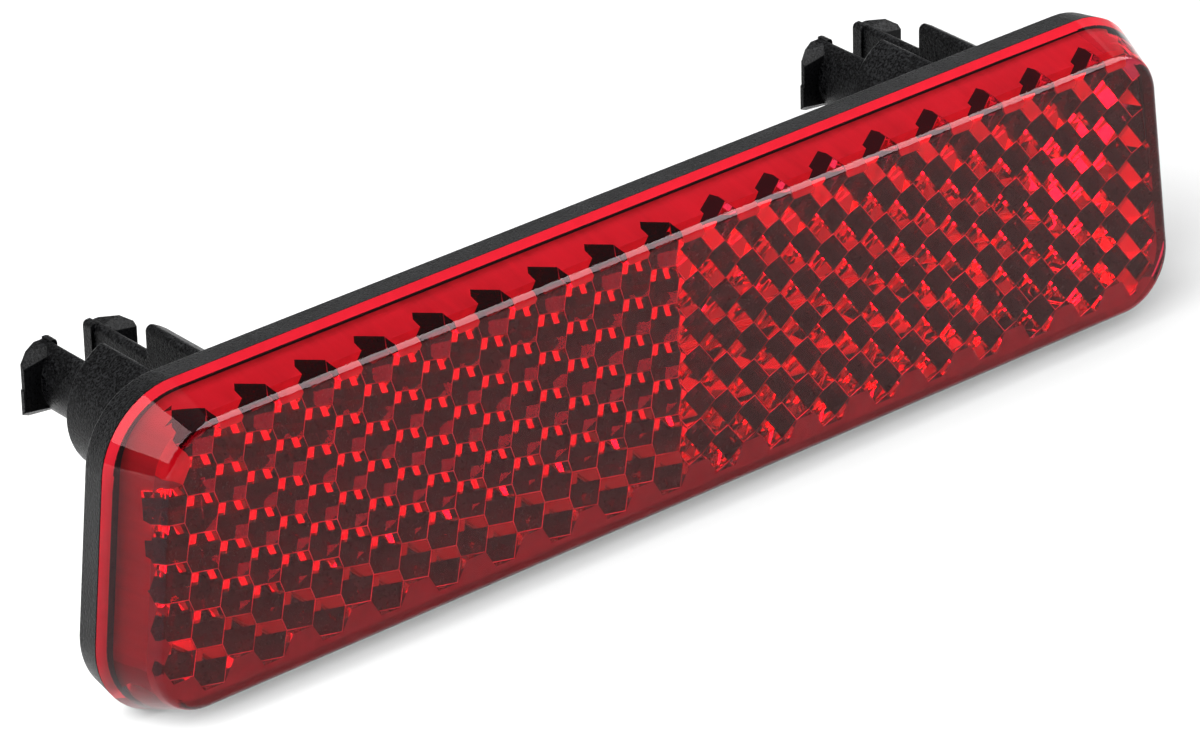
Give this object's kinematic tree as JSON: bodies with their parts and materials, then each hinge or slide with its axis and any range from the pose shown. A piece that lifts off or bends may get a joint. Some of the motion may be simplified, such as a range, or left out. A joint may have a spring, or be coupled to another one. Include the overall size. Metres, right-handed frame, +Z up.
{
  "type": "bicycle rack reflector",
  "caption": "Long rounded red rear reflector with moulded corner-cube prisms on a black back plate, with split snap plugs that push into a bicycle rack.",
  "frame": {"origin": "midway between the two plug axes, on the plane of the boss rims that seats on the rack", "axes": "+X along the length, +Y out of the rear along the plugs, +Z up; the lens faces -Y"},
  "size_m": [0.109, 0.0269, 0.0274],
  "materials": {
    "lens_red": "clear red acrylic, polished outside, faceted prisms inside",
    "plate_black": "black moulded plastic with a fine spark-eroded grain"
  },
  "bodies": {
    "root": {"reflector_lens": "lens_red", "back_plate": "plate_black"}
  },
  "joints": []
}
